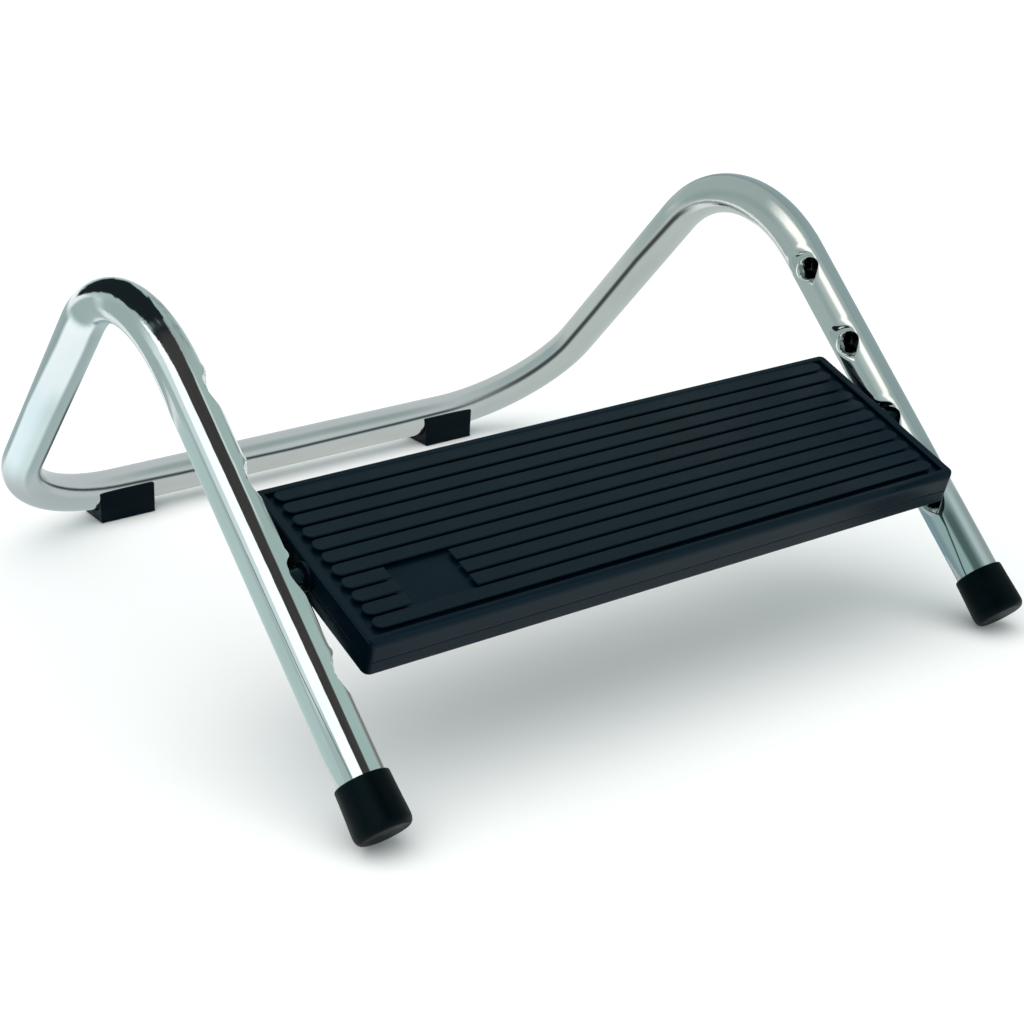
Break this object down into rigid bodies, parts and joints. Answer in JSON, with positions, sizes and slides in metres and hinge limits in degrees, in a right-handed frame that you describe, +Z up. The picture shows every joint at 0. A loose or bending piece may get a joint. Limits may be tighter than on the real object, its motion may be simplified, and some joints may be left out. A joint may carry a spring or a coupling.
{
  "type": "footrest",
  "caption": "Free-standing under-desk footrest: bent chromed tube frame with side loops and a ribbed plastic tread that tilts on a pivot between the front legs.",
  "frame": {"origin": "centre of the footprint, on the floor", "axes": "+Z up, +Y towards the rear rail, +X to the right as seen from the front; X = 0 is the mirror plane of the frame"},
  "size_m": [0.449, 0.503, 0.2249],
  "materials": {
    "chromed_tube": "mirror bright chrome plate on bent steel tube",
    "cap_rubber": "satin moulded rubber",
    "glide_plastic": "fine matt moulded plastic",
    "tread_plastic": "satin moulded plastic with fine texture",
    "bush_plastic": "smooth moulded nylon",
    "plated_steel": "zinc plated steel"
  },
  "bodies": {
    "frame": {"frame_tube": "chromed_tube", "left_foot_cap": "cap_rubber", "right_foot_cap": "cap_rubber", "left_cap_washer": "plated_steel", "right_cap_washer": "plated_steel", "left_rear_glide": "glide_plastic", "right_rear_glide": "glide_plastic"},
    "tread": {"tread_top": "tread_plastic", "tread_base": "tread_plastic", "tread_axle": "plated_steel", "left_pivot_bush": "bush_plastic", "right_pivot_bush": "bush_plastic", "cover_screws": "plated_steel"}
  },
  "joints": [
    {"name": "tread_tilt", "type": "hinge", "parent": "frame", "child": "tread", "pos_m": [0, -0.14988, 0.10578], "axis": [1, 0, 0], "continuous": true}
  ]
}
